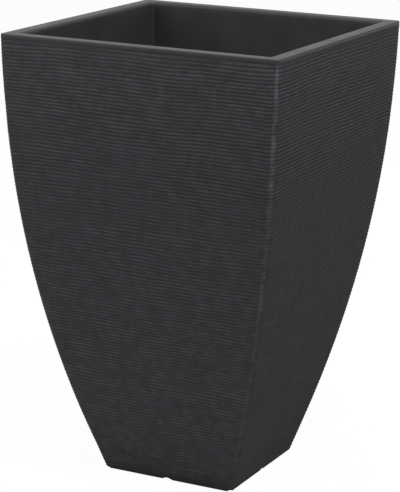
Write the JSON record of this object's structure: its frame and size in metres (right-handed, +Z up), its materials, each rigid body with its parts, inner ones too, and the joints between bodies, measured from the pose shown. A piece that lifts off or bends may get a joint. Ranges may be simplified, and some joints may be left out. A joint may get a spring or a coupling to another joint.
{
  "type": "square flower pot",
  "caption": "Tall square flower pot with curved tapering ribbed walls, a smooth thick rim on a lift-out planting liner, drain plugs and a notched standing foot.",
  "frame": {"origin": "middle of the square foot, on the ground", "axes": "+Z up along the pot's axis, +X and +Y square to two of its sides, the front side facing -Y"},
  "size_m": [0.39, 0.39, 0.6],
  "materials": {
    "shell_plastic": "matte dark anthracite, fine horizontal ribs",
    "liner_plastic": "matte dark anthracite, smooth",
    "plug_rubber": "matte black"
  },
  "bodies": {
    "shell": {"outer_shell": "shell_plastic"},
    "liner": {"inner_liner": "liner_plastic"},
    "liner_plug_front_left": {"liner_plug_front_left": "plug_rubber"},
    "liner_plug_front_right": {"liner_plug_front_right": "plug_rubber"},
    "liner_plug_back_left": {"liner_plug_back_left": "plug_rubber"},
    "liner_plug_back_right": {"liner_plug_back_right": "plug_rubber"},
    "base_plug": {"base_plug": "plug_rubber"}
  },
  "joints": [
    {"name": "liner_lift", "type": "slide", "parent": "shell", "child": "liner", "axis": [0, 0, 1], "range_m": [0, 0.54]},
    {"name": "plug_pull_front_left", "type": "slide", "parent": "liner", "child": "liner_plug_front_left", "axis": [0, 0, 1], "range_m": [0, 0.03]},
    {"name": "plug_pull_front_right", "type": "slide", "parent": "liner", "child": "liner_plug_front_right", "axis": [0, 0, 1], "range_m": [0, 0.03]},
    {"name": "plug_pull_back_left", "type": "slide", "parent": "liner", "child": "liner_plug_back_left", "axis": [0, 0, 1], "range_m": [0, 0.03]},
    {"name": "plug_pull_back_right", "type": "slide", "parent": "liner", "child": "liner_plug_back_right", "axis": [0, 0, 1], "range_m": [0, 0.03]},
    {"name": "base_plug_pull", "type": "slide", "parent": "shell", "child": "base_plug", "axis": [0, 0, 1], "range_m": [0, 0.03]}
  ]
}
